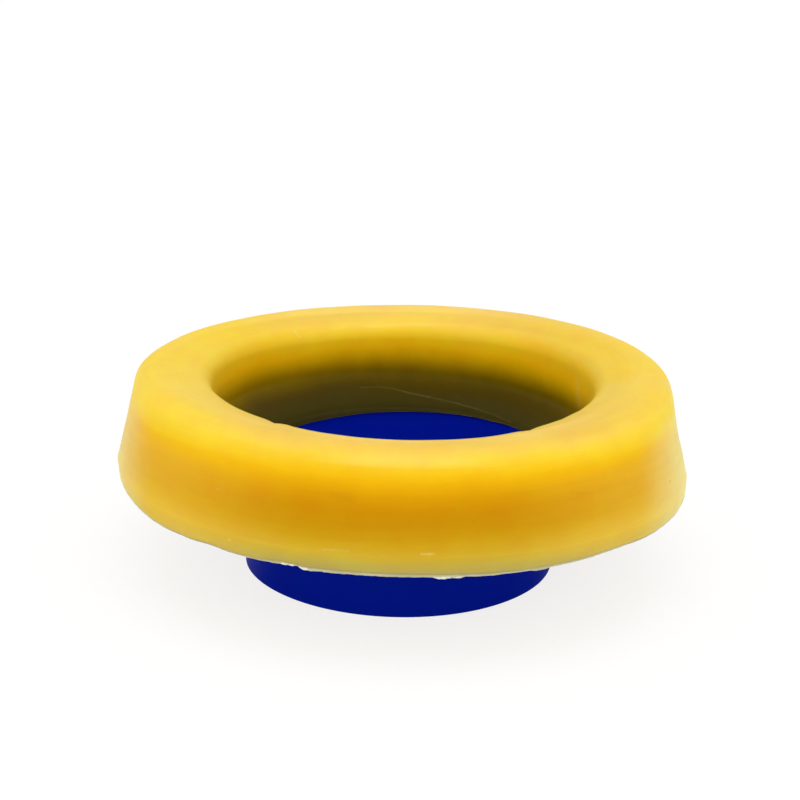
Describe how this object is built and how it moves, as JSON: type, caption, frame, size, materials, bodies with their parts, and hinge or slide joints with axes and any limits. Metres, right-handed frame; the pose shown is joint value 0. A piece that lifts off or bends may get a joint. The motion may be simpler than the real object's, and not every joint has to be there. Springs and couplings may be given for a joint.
{
  "type": "toilet pan seal",
  "caption": "Soft wax ring moulded on a plastic outlet horn, which seals a toilet pan to its floor drain.",
  "frame": {"origin": "centre of the horn's rim, the lowest face of the part", "axes": "+Z is the axis of the ring and the horn, from the drain up to the pan; X and Y are any two directions across it, as the part is round"},
  "size_m": [0.125, 0.125, 0.045],
  "materials": {
    "wax": "soft petroleum wax, satin, warm yellow, slightly translucent at thin edges",
    "horn": "moulded polyethylene, smooth, dark blue"
  },
  "bodies": {
    "root": {"wax_ring": "wax", "outlet_horn": "horn"}
  },
  "joints": []
}
